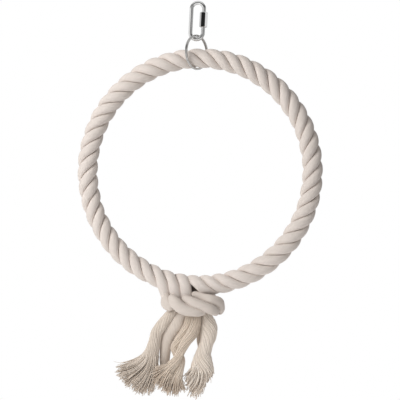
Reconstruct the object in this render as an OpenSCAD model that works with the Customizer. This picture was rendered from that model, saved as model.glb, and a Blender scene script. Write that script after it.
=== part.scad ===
// Ring bird swing: a ring of three-strand cotton rope, knotted at the bottom with frayed
// tails, hung by a split ring from a screw-gate quick link.
// The origin is the hanging point, at the inside top of the quick link. +Z is up,
// the rope ring lies in the XZ plane, and -Y is the front.

/* [Quick link] */
// Diameter of the bent rod
link_rod_d = 3.8; // [3:0.2:4.4]
// Outer length of the link
link_length = 40.4; // [38:0.2:52]
// Outer width of the link
link_width = 16.4; // [15:0.2:20]
// Gap in the right leg that the sleeve closes
gate_gap = 4.5; // [3.5:0.5:5]
// Lean of the link, top to the right, in degrees
link_lean = 3; // [0:0.5:5]

/* [Gate sleeve] */
// Length of the hexagonal sleeve
sleeve_length = 15; // [14:0.5:16]
// Width of the sleeve across its flats
sleeve_flats = 7; // [6.4:0.1:7.6]
// Running clearance between the sleeve's bore and the rod
sleeve_clearance = 0.06; // [0.03:0.01:0.1]
// Length of the upper stub that the closed sleeve covers
sleeve_grip = 0.9; // [0.6:0.1:1.4]
// Drop from the hanging point to the top of the closed sleeve
sleeve_drop = 7.4; // [6.5:0.1:8]
// Chamfer on the ends of the sleeve
sleeve_chamfer = 0.7; // [0.3:0.1:1]

/* [Split ring] */
// Outer diameter of the split ring
split_outer_d = 35.2; // [33:0.2:42]
// Width of the flattened wire, measured across the ring
split_wire_w = 1.9; // [1.5:0.1:2.4]
// Thickness of each of the two turns of wire
split_wire_t = 1.2; // [0.8:0.1:1.5]
// Gap between the two turns
split_turn_gap = 0.1; // [0.05:0.05:0.3]
// Turn of the split ring away from the plane of the rope ring, in degrees
split_turn = 60; // [54:1:72]
// Clearance between the split ring and the inside bottom of the link
link_seat = 0.8; // [0.7:0.1:1.2]

/* [Rope ring] */
// Diameter of the circle along the middle of the rope
ring_mid_d = 227.2; // [180:0.2:300]
// Diameter of the rope over its strands
rope_d = 20.2; // [18:0.2:22]
// Depth of the grooves between strands
groove_depth = 2.4; // [1.6:0.1:3]
// Turns that each strand makes in a full circle
rope_turns = 16; // [13:1:19]
// Gap between neighbouring strands
lay_gap = 0.4; // [0.2:0.05:0.5]
// Sideways shift of the ring's middle from the hanging point
ring_shift = 0.8; // [-1:0.1:2]
// Depth that the split ring sinks into the lay of the rope
rope_sink = 0.3; // [0:0.05:0.4]
// Diameter of the steel hoop inside the rope
hoop_wire_d = 4; // [3:0.2:5]
// Clearance between the hoop and the strands
hoop_clearance = 0.3; // [0.1:0.05:0.5]

/* [Knot] */
// Drop from the middle of the rope, at the bottom of the ring, to the middle of the knot
knot_drop = 18; // [17:0.5:22]
// Shift of the knot to the left of the ring's middle
knot_shift = 4.7; // [3:0.1:7]
// Share of a strand's width that is left where it runs down into the knot
leg_narrowing = 0.84; // [0.7:0.02:0.84]
// Height of the back of the knot above its front
knot_back_lift = 3.5; // [0:0.5:4]
// Lean of the back of the knot, its left side up, in degrees
knot_back_lean = 9; // [4:1:10]

/* [Hidden] */
$fn = 64;

front = [0, -1, 0];
right = [1, 0, 0];

// Quick link, in its own upright frame
rod_r = link_rod_d / 2;
link_bend_r = (link_width - link_rod_d) / 2;
link_top_bend_z = rod_r - link_bend_r;
link_low_bend_z = link_rod_d - link_length + rod_r + link_bend_r;
gate_top_z = -sleeve_drop - sleeve_grip;
gate_low_z = gate_top_z - gate_gap;

// Split ring, hung on the lowest point of the leaning link's lower bend
split_r = split_outer_d / 2;
split_inner_r = split_r - split_wire_w;
split_edge_r = split_wire_t * 0.48;
split_x = link_low_bend_z * sin(link_lean);
split_seat_z = link_low_bend_z * cos(link_lean) - link_bend_r + rod_r;
split_z = split_seat_z + link_seat - split_inner_r;

// Rope ring, resting in the bottom of the split ring
rope_r = rope_d / 2;
ring_mid_r = ring_mid_d / 2;
ring_x = ring_shift;
seat_reach = ring_x - split_x;
ring_drop_at_seat = (ring_mid_r - rope_r) - sqrt(pow(ring_mid_r - rope_r, 2) - pow(seat_reach, 2));
ring_z = split_z - split_inner_r - rope_sink + ring_drop_at_seat - ring_mid_r + rope_r;

// Strands: each fills a third of the rope round the hoop
strand_count = 3;
strand_share = 360 / strand_count;
rings_per_turn = 14;
hoop_r = hoop_wire_d / 2;
strand_core_r = (hoop_r + hoop_clearance) / cos(strand_share / 4 + 180 / rings_per_turn);
inner_side = 180;
rope_pitch = 360 / rope_turns;
helix_step = rope_pitch / rings_per_turn;

// Angle along the ring at which the first strand leaves the rope's inner side for the knot
first_leg_angle = -170.625;
first_strand_angle = inner_side - rope_turns * first_leg_angle;

// Knot
knot_x = ring_x - knot_shift;
knot_z = ring_z - ring_mid_r - knot_drop;

// Unit vector along v
function unit(v) = v / norm(v);

// Middle of the rope at angle a, clockwise from the top
function ring_point(a) = [ring_x + ring_mid_r * sin(a), 0, ring_z + ring_mid_r * cos(a)];

// Direction away from the ring's middle at angle a
function ring_out(a) = [sin(a), 0, cos(a)];

// Direction along the ring at angle a
function ring_along(a) = [cos(a), 0, -sin(a)];

// Direction across the rope at angle a, where f turns from the outside to the front
function rope_dir(a, f) = cos(f) * ring_out(a) + sin(f) * front;

// Outline of one strand's cross-section: [outwards, sideways] from the middle of the rope
function strand_outline(core_r = strand_core_r) =
    let (half = strand_share / 2,
         shift = lay_gap / 2 * [sin(half), -cos(half)],
         groove = (rope_r - groove_depth) * [cos(half), sin(half)] + shift,
         core = core_r * [cos(half), sin(half)] + shift,
         centre = (rope_r * rope_r - groove * groove) / 2 / (rope_r - groove[0]),
         bulge = rope_r - centre,
         spread = atan2(groove[1], groove[0] - centre),
         arc_steps = 5)
    concat([[core[0], -core[1]]],
           [for (i = [0:arc_steps])
               let (t = spread * (2 * i / arc_steps - 1))
               [centre + bulge * cos(t), bulge * sin(t)]],
           [core],
           [[core_r, 0]]);

// One cross-section: the outline set out from point o along the directions u and v
function place(outline, o, u, v) = [for (p = outline) o + p[0] * u + p[1] * v];

// The outline with its side towards the next strand drawn in to a share of its width
function trimmed(outline, way, share) =
    [for (p = outline) [p[0], p[1] * (p[1] * way < 0 ? share : 1)]];

// Cross-section of the rope's strand k at angle a along the ring
function helix_section(k, a) =
    let (f = first_strand_angle + strand_share * k + rope_turns * a)
    place(strand_outline(), ring_point(a), rope_dir(a, f), rope_dir(a, f + 90));

// Cross-sections of a strand that leaves the rope's inner side at angle a, passes over
// its front (way -1) or its back (way 1) and runs down to its foot in the knot
leg_turns = [22, 44, 68, 90];
leg_blend = [0, 0.15, 0.5, 1];
leg_swell = [1, 1, 0.94, 0.88];
leg_advance = 1.28;
leg_hollow = [0.6, 2.4, 3.6, 3.2];
leg_trim = [0.96, 0.84, 0.62, 0.9];
function leg_sections(a, way, foot) =
    let (hip = ring_point(a + way * leg_advance * len(leg_turns)),
         lift = way > 0 ? knot_back_lift : 0,
         low = [knot_x + foot[0], way * foot[2], knot_z + lift + foot[1]])
    concat([for (i = [0:len(leg_turns) - 1])
               let (here = a + way * leg_advance * (i + 1),
                    f = inner_side + way * leg_turns[i],
                    v = unit((1 - leg_blend[i]) * rope_dir(here, f + 90)
                             - leg_blend[i] * ring_along(here)))
               place(trimmed(strand_outline(strand_core_r + leg_hollow[i]), way, leg_trim[i]),
                     ring_point(here), rope_dir(here, f), leg_swell[i] * v)],
           [for (t = [0.4, 0.7, 1])
               place(strand_outline(strand_core_r + leg_hollow[0]), (1 - t) * hip + t * low, -way * front,
                     (leg_swell[3] * (1 - t) + leg_narrowing * t) * right)]);

// Feet of the strands in the knot, from the outside of the ring's bottom inwards:
// [across, height, shift outwards] from the middle of the knot
front_feet = [[-25, 11.6, 5.6], [-16, 5, -2], [-5, 4, -2]];
back_feet = [[14.6, 10, 4.6], [4.6, 4, -2], [-5.5, 9, -2]];

// Closed tube over a list of cross-sections with as many points each. The faces of the
// first column are cut along their other diagonal, so that twisted neighbours match there.
module loft(sections) {
    n = len(sections[0]);
    last = len(sections) - 1;
    polyhedron(
        points = [for (s = sections) for (p = s) p],
        faces = concat(
            [[for (j = [0:n - 1]) j]],
            [for (i = [0:last - 1]) for (j = [0:n - 1])
                let (k = (j + 1) % n,
                     low = i * n,
                     high = low + n)
                each j == 0 ? [[low + j, high + j, high + k], [low + j, high + k, low + k]]
                            : [[low + j, high + j, low + k], [low + k, high + j, high + k]]],
            [[for (j = [n - 1:-1:0]) last * n + j]]),
        convexity = 10);
}

// Point at t between the points p[i] and p[i + 1] of a smooth curve through all of p
function curve_at(p, i, t) =
    let (a = p[max(i - 1, 0)],
         b = p[i],
         c = p[i + 1],
         d = p[min(i + 2, len(p) - 1)])
    b + t / 2 * (c - a + t * (2 * a - 5 * b + 4 * c - d + t * (3 * (b - c) + d - a)));

// The curve's points, with steps points for each stretch
function curve(p, steps) =
    concat([for (i = [0:len(p) - 2]) for (s = [0:steps - 1]) curve_at(p, i, s / steps)],
           [p[len(p) - 1]]);

// Place of a curve point [across, depth, height, half width, half depth]
function spot(q) = [q[0], q[1], q[2]];

// Oval cross-sections along such points, each with its depth towards the hint at that point
function oval_sections(q, hints, sides) =
    let (last = len(q) - 1)
    [for (i = [0:last])
        let (along = unit(spot(q[min(i + 1, last)]) - spot(q[max(i - 1, 0)])),
             deep = unit(hints[i] - (hints[i] * along) * along),
             wide = cross(along, deep))
        [for (j = [0:sides - 1])
            let (t = 360 * j / sides)
            spot(q[i]) + q[i][4] * cos(t) * deep + q[i][3] * sin(t) * wide]];

// Knot wraps: [across, depth, height, half width, half depth] from the middle of the knot
knot_wraps = [
    [[-23, -9, 8, 3.4, 3.4], [-18, -13.5, 2.5, 5.4, 4.6], [-12, -15, -3, 5.6, 5],
     [-2, -15.5, -7.2, 4.4, 5], [7, -13.6, -9.2, 3.8, 4.4], [13, -9.4, -9, 2.4, 2.6]],
    [[-9, -11, 6, 2, 1.8], [-4, -13, 4, 3.4, 3], [1, -14.5, 1.6, 4.4, 4.4],
     [11, -15, -1.6, 4.4, 4.8], [19, -13, -5.4, 4.6, 4.6], [23, -8, -8, 4, 4], [21, -3, -9, 3, 3]],
    [[2, -9.6, 6.8, 1.6, 1.6], [8, -10.4, 6.4, 2.6, 2.6], [18, -11.4, 3.6, 3.8, 4],
     [26, -6.6, 0.6, 4.6, 4.4], [28, 0, -3, 5.2, 4.2], [26.4, 5.6, -7, 4.4, 4], [23, 8, -11, 3, 3]]];
knot_depth_share = 2;

module knot_wrap(i) {
    q = curve(knot_wraps[i], 2);
    hints = [for (p = q) [p[0], knot_depth_share * p[1], 0]];
    color("antiquewhite")
        loft(oval_sections(q, hints, 10));
}

module knot_wrap_front(i) {
    translate([knot_x, 0, knot_z])
        knot_wrap(i);
}

// The back of the knot is the front turned half round, and leans
module knot_wrap_back(i) {
    translate([knot_x, 0, knot_z + knot_back_lift])
        rotate([0, knot_back_lean, 0])
            rotate([0, 0, 180])
                knot_wrap(i);
}

// The two strand ends that don't hang out lie side by side in the middle of the knot:
// [across, depth, height, half width, half depth] from the middle of the knot
tucked_ends = [
    [[-17, -4.2, -2, 3, 3], [-12, -4.2, -2.6, 4.2, 4], [0, -4.2, -2.8, 4.2, 4], [12, -4.2, -2.8, 4.2, 4],
     [17, -4.2, -2.2, 3, 3]],
    [[-15, 4.2, -1.4, 2.8, 2.8], [-11, 4.2, -1.6, 4.2, 4], [0, 4.2, -1.2, 4.2, 4], [12, 4.2, -0.4, 4.2, 4],
     [17, 4.2, 0, 3, 3]]];

module tucked_end(i) {
    q = tucked_ends[i];
    color("antiquewhite")
        translate([knot_x, 0, knot_z])
            loft(oval_sections(q, [for (p = q) front], 10));
}

// Tail routes: [across, depth, height, half width, half depth] from the middle of the knot
tail_routes = [
    [[-18.8, -1.4, -4.5, 3.6, 3.8], [-26, -1.8, -14, 4.4, 5], [-32.6, -2, -21, 4.8, 5.2], [-39.4, -2, -31, 5, 5.4],
     [-41.6, -2, -41, 5.5, 5.6], [-44.6, -2, -50, 6.8, 6], [-52, -2, -60, 11.5, 6.5],
     [-58.5, -2, -70, 15, 7], [-57.5, -2, -79, 13, 6.5], [-53, -2, -88, 8, 5]],
    [[-10.4, 0, -8, 4.4, 4.2], [-13.6, 0, -13, 4.6, 4.8], [-18.6, 1, -21, 5.2, 5.2],
     [-24.5, 2, -30, 5.6, 5.2], [-29.2, 3, -39, 5.4, 5.2], [-30.8, 4, -48, 4.9, 5],
     [-31.7, 5, -58, 4.6, 4.8], [-32.4, 6, -67, 4.6, 4.8], [-32.8, 6, -80, 5, 4.6]],
    [[0.4, -2, -8, 5.2, 4.6], [0, -3, -14, 6.2, 5.4], [-3.8, -4, -24, 7.4, 5.8], [-6.4, -4, -33, 8.4, 6],
     [-14.4, -5, -41, 7.6, 6], [-15.6, -6, -47, 8, 6], [-16.6, -6, -54, 7.6, 6], [-20, -6, -62, 10.5, 6],
     [-24.5, -6, -71, 14, 6], [-24, -6, -81, 14, 6], [-18.5, -6, -90, 9, 5]],
    [[11.8, 0, -7.3, 4.6, 4.6], [12.7, 0, -14, 5.8, 5.4], [14.2, 0, -24, 8, 6.4], [13.8, 0, -33, 7.4, 6.5],
     [12.2, 0, -41, 6.3, 6.3], [9.6, -1, -50, 7.4, 6.5], [8.9, -1, -59, 9.8, 7], [7.4, -1, -68, 12, 7],
     [4.6, -1, -76, 11.4, 6.6], [2, -1, -83, 8, 5.5], [0.8, -1, -94, 3.4, 3.4]]];

module tail(i) {
    q = tail_routes[i];
    color("linen")
        translate([knot_x, 0, knot_z])
            loft(oval_sections(q, [for (p = q) front], 12));
}

// One strand of the rope: round the ring from the front of the knot to its back
module ring_strand(k) {
    order = (strand_count - k) % strand_count;
    lead = first_leg_angle + order * rope_pitch / strand_count;
    steps = (rope_turns - 1) * rings_per_turn;
    front_leg = leg_sections(lead, -1, front_feet[strand_count - 1 - order]);
    back_leg = leg_sections(lead + steps * helix_step, 1, back_feet[order]);
    color("antiquewhite")
        loft(concat([for (i = [len(front_leg) - 1:-1:0]) front_leg[i]],
                    [for (i = [0:steps]) helix_section(k, lead + i * helix_step)],
                    back_leg));
}

// Steel hoop that keeps the rope round
module hoop_core() {
    color("dimgray")
        translate([ring_x, 0, ring_z])
            rotate([90, 0, 0])
                rotate_extrude()
                    translate([ring_mid_r, 0])
                        circle(d = hoop_wire_d);
}

// Cross-section of one turn of the split ring's wire, with eased edges
module split_wire_section() {
    translate([split_inner_r + split_edge_r, 0])
        square([split_wire_w - 2 * split_edge_r, split_wire_t]);
    translate([split_inner_r, split_edge_r])
        square([split_wire_w, split_wire_t - 2 * split_edge_r]);
    for (x = [split_inner_r + split_edge_r, split_r - split_edge_r])
        for (y = [split_edge_r, split_wire_t - split_edge_r])
            translate([x, y])
                circle(r = split_edge_r);
}

// Two turns of flattened wire that lie side by side, joined where one steps over to the other
split_step_angle = 14;
split_step_sink = 0.2;
split_end_gap = 3;
module split_ring() {
    step_h = split_turn_gap + 2 * split_step_sink;
    turn_pitch = split_wire_t + split_turn_gap;
    color("silver")
        translate([split_x, 0, split_z])
            rotate([0, 0, split_turn])
                rotate([90, 0, 0])
                    union() {
                        for (side = [0, 1])
                            rotate([0, 0, split_step_angle * side])
                                translate([0, 0, (side - 1) * turn_pitch + split_turn_gap / 2])
                                    rotate_extrude(angle = 360 - split_end_gap)
                                        split_wire_section();
                        rotate([0, 0, 2 * split_step_angle])
                            rotate_extrude(angle = split_step_angle)
                                translate([split_r - split_wire_w / 2, 0])
                                    square([split_wire_w / 4, step_h], center = true);
                    }
}

// Half of a bent rod, with its ends at x = +-link_bend_r
module rod_bend() {
    rotate([90, 0, 0])
        rotate_extrude(angle = 180)
            translate([link_bend_r, 0])
                circle(r = rod_r);
}

// Straight stretch of rod from the end of a bend at x and height z, downwards where reach is negative
module rod_leg(x, z, reach) {
    translate([x, 0, z])
        rotate([reach < 0 ? 180 : 0, 0, 0])
            cylinder(r = rod_r, h = abs(reach));
}

// The long leg is two halves, one from each bend, that lap in the middle
module quick_link() {
    half_leg = (link_top_bend_z - link_low_bend_z + rod_r) / 2;
    color("silver")
        rotate([0, link_lean, 0])
            union() {
                translate([0, 0, link_top_bend_z])
                    rod_bend();
                translate([0, 0, link_low_bend_z])
                    rotate([0, 180, 0])
                        rod_bend();
                rod_leg(-link_bend_r, link_top_bend_z, -half_leg);
                rod_leg(-link_bend_r, link_low_bend_z, half_leg);
                rod_leg(link_bend_r, link_top_bend_z, gate_top_z - link_top_bend_z);
                rod_leg(link_bend_r, link_low_bend_z, gate_low_z - link_low_bend_z);
            }
}

module quick_link_sleeve() {
    hex_r = sleeve_flats / 2 / cos(30);
    bore_r = rod_r + sleeve_clearance;
    color("gainsboro")
        rotate([0, link_lean, 0])
            translate([link_bend_r, 0, -sleeve_drop - sleeve_length])
                difference() {
                    intersection() {
                        cylinder(r = hex_r, h = sleeve_length, $fn = 6);
                        rotate_extrude()
                            polygon([[0, 0], [hex_r - sleeve_chamfer, 0], [hex_r, sleeve_chamfer],
                                     [hex_r, sleeve_length - sleeve_chamfer],
                                     [hex_r - sleeve_chamfer, sleeve_length], [0, sleeve_length]]);
                    }
                    translate([0, 0, -1])
                        cylinder(r = bore_r, h = sleeve_length + 2);
                }
}

quick_link();
quick_link_sleeve();
split_ring();
hoop_core();
ring_strand(0);  // ring_strand_1
ring_strand(1);  // ring_strand_2
ring_strand(2);  // ring_strand_3
knot_wrap_front(0);  // knot_wrap_front_1
knot_wrap_front(1);  // knot_wrap_front_2
knot_wrap_front(2);  // knot_wrap_front_3
knot_wrap_back(0);  // knot_wrap_back_1
knot_wrap_back(1);  // knot_wrap_back_2
knot_wrap_back(2);  // knot_wrap_back_3
tucked_end(0);  // tucked_end_1
tucked_end(1);  // tucked_end_2
tail(0);  // tail_1
tail(1);  // tail_2
tail(2);  // tail_3
tail(3);  // tail_4
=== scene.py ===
"""Ring bird swing: the finished look of its rope ring, knot, frayed tails and hanging metal."""

import logging
import math
from dataclasses import dataclass, field
from enum import Enum

import bpy
import numpy as np
from numpy.typing import NDArray
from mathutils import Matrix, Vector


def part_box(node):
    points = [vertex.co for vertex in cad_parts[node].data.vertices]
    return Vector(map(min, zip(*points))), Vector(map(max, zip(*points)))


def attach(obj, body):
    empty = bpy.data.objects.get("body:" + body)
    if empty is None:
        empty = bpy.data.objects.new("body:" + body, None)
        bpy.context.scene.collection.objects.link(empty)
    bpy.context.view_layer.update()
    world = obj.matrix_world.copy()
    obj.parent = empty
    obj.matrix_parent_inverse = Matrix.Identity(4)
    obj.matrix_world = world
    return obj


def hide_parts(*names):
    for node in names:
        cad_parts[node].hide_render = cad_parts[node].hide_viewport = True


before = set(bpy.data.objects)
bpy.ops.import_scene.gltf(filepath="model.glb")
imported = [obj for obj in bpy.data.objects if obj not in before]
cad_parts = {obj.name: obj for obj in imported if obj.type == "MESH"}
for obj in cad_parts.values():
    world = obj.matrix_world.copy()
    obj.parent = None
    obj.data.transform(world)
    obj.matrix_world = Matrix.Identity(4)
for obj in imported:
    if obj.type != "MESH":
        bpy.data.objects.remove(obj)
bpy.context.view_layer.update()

LOG = logging.getLogger("ring_swing")
MM = 0.001
TINY = 1e-9
GOLDEN_ANGLE = math.radians(137.508)
ANY_PHASE = (0.0, 6.28)
PATTERN_START = (0.0, 200.0)
FRONT = np.array([0.0, -1.0, 0.0])
RIGHT = np.array([1.0, 0.0, 0.0])
LAY_UV = "lay"
TONE = "tone"

Points = NDArray[np.float64]
Keys = tuple[tuple[float, ...], ...]
Colour = tuple[float, float, float]
Socket = bpy.types.NodeSocket


class Way(Enum):
    """Side of the rope that a strand passes over on its way down into the knot."""

    FRONT = -1
    BACK = 1


class Body(Enum):
    """Moving bodies that the pieces ride on."""

    HANGER = "hanger"
    SLEEVE = "gate_sleeve"
    CARRIER = "carrier_ring"
    ROPE = "rope_ring"


def unit(v: Points) -> Points:
    """Vectors of length one along the last axis of v."""
    return v / np.maximum(np.linalg.norm(v, axis=-1, keepdims=True), TINY)


def eased(t: Points) -> Points:
    """A rise from 0 to 1 that starts and ends level."""
    return t * t * (3 - 2 * t)


def lengths_along(path: Points) -> Points:
    """Distance of each point of a path from its start, along the path."""
    return np.concatenate([[0.0], np.cumsum(np.linalg.norm(np.diff(path, axis=0), axis=1))])


def resample(keys: Points, at: Points, where: Points) -> Points:
    """Smooth curve through keys.

    Args:
        keys: Values along the first axis, of any shape beyond it.
        at: Rising position of each key.
        where: Positions to read the curve at.

    Returns:
        The values of the curve at those positions.
    """
    wide = (slice(None),) + (None,) * (keys.ndim - 1)
    step = np.diff(at)
    slope = np.diff(keys, axis=0) / step[wide]
    tangent = np.empty_like(keys)
    tangent[0], tangent[-1] = slope[0], slope[-1]
    share = (step[:-1] / (step[:-1] + step[1:]))[wide]
    tangent[1:-1] = slope[:-1] * (1 - share) + slope[1:] * share
    i = np.clip(np.searchsorted(at, where, side="right") - 1, 0, len(at) - 2)
    t = ((where - at[i]) / step[i])[wide]
    h = step[i][wide]
    return ((2 * t ** 3 - 3 * t ** 2 + 1) * keys[i] + (t ** 3 - 2 * t ** 2 + t) * h * tangent[i]
            + (3 * t ** 2 - 2 * t ** 3) * keys[i + 1] + (t ** 3 - t ** 2) * h * tangent[i + 1])


def smooth_route(keys: Points, spacing: float) -> Points:
    """Smooth route through keys.

    Args:
        keys: Points of the route as x, y, z, with any sizes after them.
        spacing: About how far apart the points of the route are.

    Returns:
        Points of the route, with the sizes there.
    """
    at = lengths_along(keys[:, :3])
    return resample(keys, at, np.linspace(0.0, at[-1], max(3, round(at[-1] / spacing) + 1)))


def route_frame(route: Points) -> tuple[Points, Points, Points]:
    """Directions at each point of a route.

    Args:
        route: Points as x, y, z, with any sizes after them.

    Returns:
        Directions along the route, across it and towards the front.
    """
    along = unit(np.gradient(route[:, :3], axis=0))
    deep = unit(FRONT - (along @ FRONT)[:, None] * along)
    return along, np.cross(along, deep), deep


def painted_facing_light(turn: Points, middle: float, swing: float, least: float) -> Points:
    """Painted light and shade round a tube, lightest on the side that faces out and never below its
    least.
    """
    return np.clip(middle + swing * np.cos(turn), least, 1.0)


def oval_rings(path: Points, deep: Points, wide: Points, half_depth: Points, half_width: Points,
               turn: Points) -> Points:
    """Cross-sections of an oval tube.

    Args:
        path: Points of its middle.
        deep: Direction of its depth at each point.
        wide: Direction of its width at each point.
        half_depth: Half its depth, by point and side.
        half_width: Half its width, by point and side.
        turn: Angle round the tube, by point and side.

    Returns:
        Rings of points.
    """
    return (path[:, None, :] + half_depth[..., None] * np.cos(turn)[..., None] * deep[:, None, :]
            + half_width[..., None] * np.sin(turn)[..., None] * wide[:, None, :])


@dataclass
class Weave:
    """Gathers tubes and lofts in millimetres and makes one mesh piece of them.

    Attributes:
        verts: Points of each tube.
        faces: Faces of each tube, by the numbers of their points.
        corners: UV coordinates of the corners of those faces.
        tones: Tone of each point.
        used: How many points there are so far.
    """

    verts: list[Points] = field(default_factory=list)
    faces: list[NDArray[np.int64]] = field(default_factory=list)
    corners: list[Points] = field(default_factory=list)
    tones: list[Points] = field(default_factory=list)
    used: int = 0

    def loft(self, rings: Points, along: Points, across: float, tone: Points) -> None:
        """Adds a closed tube.

        Args:
            rings: Cross-sections, as ring, point and x, y, z.
            along: Distance along the tube of each ring, which becomes the second UV coordinate.
            across: Distance round the tube, which becomes the first UV coordinate.
            tone: Tone of each ring's points, from 0 in the shade to 1.
        """
        n, m = rings.shape[:2]
        i, j = (g.ravel() for g in np.meshgrid(np.arange(n - 1), np.arange(m), indexing="ij"))
        k = (j + 1) % m
        quads = np.stack([i * m + j, i * m + k, (i + 1) * m + k, (i + 1) * m + j], axis=1)
        u = np.stack([j, j + 1, j + 1, j], axis=1) / m * across
        v = np.stack([along[i], along[i], along[i + 1], along[i + 1]], axis=1)
        tips = np.stack([rings[0].mean(axis=0), rings[-1].mean(axis=0)])
        j = np.arange(m)
        k = (j + 1) % m
        first = np.stack([k, j, np.full(m, n * m)], axis=1)
        last = np.stack([(n - 1) * m + j, (n - 1) * m + k, np.full(m, n * m + 1)], axis=1)
        self.faces += [quads + self.used, first + self.used, last + self.used]
        self.corners.append(np.stack([u.ravel(), v.ravel()], axis=1))
        for end, rim in ((along[0], [j + 1, j]), (along[-1], [j, j + 1])):
            cap = np.stack(rim + [j + 0.5], axis=1) / m * across
            self.corners.append(np.stack([cap.ravel(), np.full(cap.size, end)], axis=1))
        self.verts += [rings.reshape(-1, 3), tips]
        self.tones += [tone.ravel(), np.array([tone[0].mean(), tone[-1].mean()])]
        self.used += n * m + 2

    def tube(self, path: Points, radius: Points, sides: int, tone: Points,
             start: float = 0.0) -> None:
        """Adds a round tube.

        Args:
            path: Points of its middle.
            radius: Its radius at each point.
            sides: How many sides it has.
            tone: Its tone at each point.
            start: How far its pattern is shifted along it.
        """
        _, wide, deep = route_frame(path)
        turn = np.linspace(0.0, math.tau, sides, endpoint=False)[None, :, None]
        spokes = np.cos(turn) * deep[:, None, :] + np.sin(turn) * wide[:, None, :]
        rings = path[:, None, :] + radius[:, None, None] * spokes
        self.loft(rings, lengths_along(path) + start, math.tau * float(radius.max()),
                  np.repeat(tone[:, None], sides, axis=1))

    def piece(self, name: str) -> bpy.types.Object:
        """Makes the gathered tubes one smooth mesh object, in metres.

        Args:
            name: The piece's name.

        Returns:
            The new object.
        """
        mesh = bpy.data.meshes.new(name)
        verts = np.concatenate(self.verts) * MM
        mesh.from_pydata(verts.tolist(), [], [f for group in self.faces for f in group.tolist()])
        layer = mesh.uv_layers.new(name=LAY_UV)
        layer.data.foreach_set("uv", np.concatenate(self.corners).astype(np.float32).ravel())
        tone = mesh.attributes.new(TONE, "FLOAT", "POINT")
        tone.data.foreach_set("value", np.concatenate(self.tones).astype(np.float32))
        mesh.polygons.foreach_set("use_smooth", np.ones(len(mesh.polygons), dtype=bool))
        mesh.update()
        obj = bpy.data.objects.new(name, mesh)
        bpy.context.scene.collection.objects.link(obj)
        return obj


def settle(piece: bpy.types.Object, body: Body, slot: str, material: bpy.types.Material,
           *nodes: str) -> bpy.types.Object:
    """Gives a piece its material and body, and hides the CAD nodes that it stands for.

    Args:
        piece: The finished piece.
        body: The body that it rides on.
        slot: Name of a material slot, which is not used.
        material: The material that it wears.
        nodes: The CAD nodes that it replaces.

    Returns:
        The same piece.
    """
    piece.data.materials.append(material)
    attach(piece, body.value)
    if nodes:
        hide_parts(*nodes)
    LOG.info("%s rides on %s", piece.name, body.value)
    return piece


class NodeGraph:
    """Short calls for adding and linking nodes in one node tree."""

    def __init__(self, tree: bpy.types.NodeTree) -> None:
        """Starts on a tree."""
        self.tree = tree

    def add(self, kind: str, inputs: dict[str | int, object] | None = None,
            **settings: object) -> bpy.types.Node:
        """Adds a node.

        Args:
            kind: The node's type name.
            inputs: Values, or sockets to link, for its inputs.
            settings: Properties of the node.

        Returns:
            The new node.
        """
        node = self.tree.nodes.new(kind)
        for key, value in settings.items():
            setattr(node, key, value)
        for key, value in (inputs or {}).items():
            if isinstance(value, Socket):
                self.tree.links.new(value, node.inputs[key])
            else:
                node.inputs[key].default_value = value
        return node

    def maths(self, operation: str, a: object, b: object = 0.0) -> Socket:
        """Result of a Math node."""
        return self.add("ShaderNodeMath", {0: a, 1: b}, operation=operation).outputs[0]

    def mix(self, share: object, a: object, b: object, blend: str = "MIX") -> Socket:
        """Result of a colour mix, whose colours are the Mix node's inputs 6 and 7 and output 2."""
        inputs = {0: share, 6: a, 7: b}
        return self.add("ShaderNodeMix", inputs, data_type="RGBA", blend_type=blend).outputs[2]

    def noise(self, place: Socket, scale: float, detail: float, roughness: float = 0.5) -> Socket:
        """Value of a Noise Texture node."""
        return self.add("ShaderNodeTexNoise", {"Vector": place, "Scale": scale, "Detail": detail,
                                               "Roughness": roughness}).outputs[0]

    def ramp(self, value: Socket, start: float, end: float, low: float, high: float) -> Socket:
        """Result of a Map Range node that goes from low at start to high at end."""
        return self.add("ShaderNodeMapRange", {"Value": value, "From Min": start, "From Max": end,
                                               "To Min": low, "To Max": high}).outputs[0]


def open_group(name: str, place: str, values: tuple[str, ...],
               results: tuple[str, ...]) -> NodeGraph:
    """Starts a shader node group.

    Args:
        name: The group's name.
        place: Name of its vector input.
        values: Names of its value inputs.
        results: Names of its value outputs.

    Returns:
        A graph on the group's tree.
    """
    tree = bpy.data.node_groups.new(name, "ShaderNodeTree")
    tree.interface.new_socket(place, in_out="INPUT", socket_type="NodeSocketVector")
    for way, sockets in (("INPUT", values), ("OUTPUT", results)):
        for socket in sockets:
            tree.interface.new_socket(socket, in_out=way, socket_type="NodeSocketFloat")
    return NodeGraph(tree)


def fibre_group() -> bpy.types.NodeTree:
    """Fine fibres that run along a yarn, as a node group that the cotton finishes share.

    Returns:
        The group, built at the first call.
    """
    name = "cotton_fibres"
    if name in bpy.data.node_groups:
        return bpy.data.node_groups[name]
    g = open_group(name, "Lay", ("Across", "Along"), ("Streak", "Height"))
    ins = g.add("NodeGroupInput").outputs
    lay = g.add("ShaderNodeSeparateXYZ", {0: ins["Lay"]}).outputs
    across = g.maths("MULTIPLY", lay[0], ins["Across"])
    along = g.maths("MULTIPLY", lay[1], ins["Along"])
    place = g.add("ShaderNodeCombineXYZ", {0: across, 1: along}).outputs[0]
    broad = g.noise(place, scale=0.55, detail=2.0)
    fine = g.noise(place, scale=2.3, detail=3.0, roughness=0.6)
    streak = g.maths("ADD", g.maths("MULTIPLY", broad, 0.5), g.maths("MULTIPLY", fine, 0.5))
    g.add("NodeGroupOutput", {"Streak": streak, "Height": fine})
    return g.tree


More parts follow.
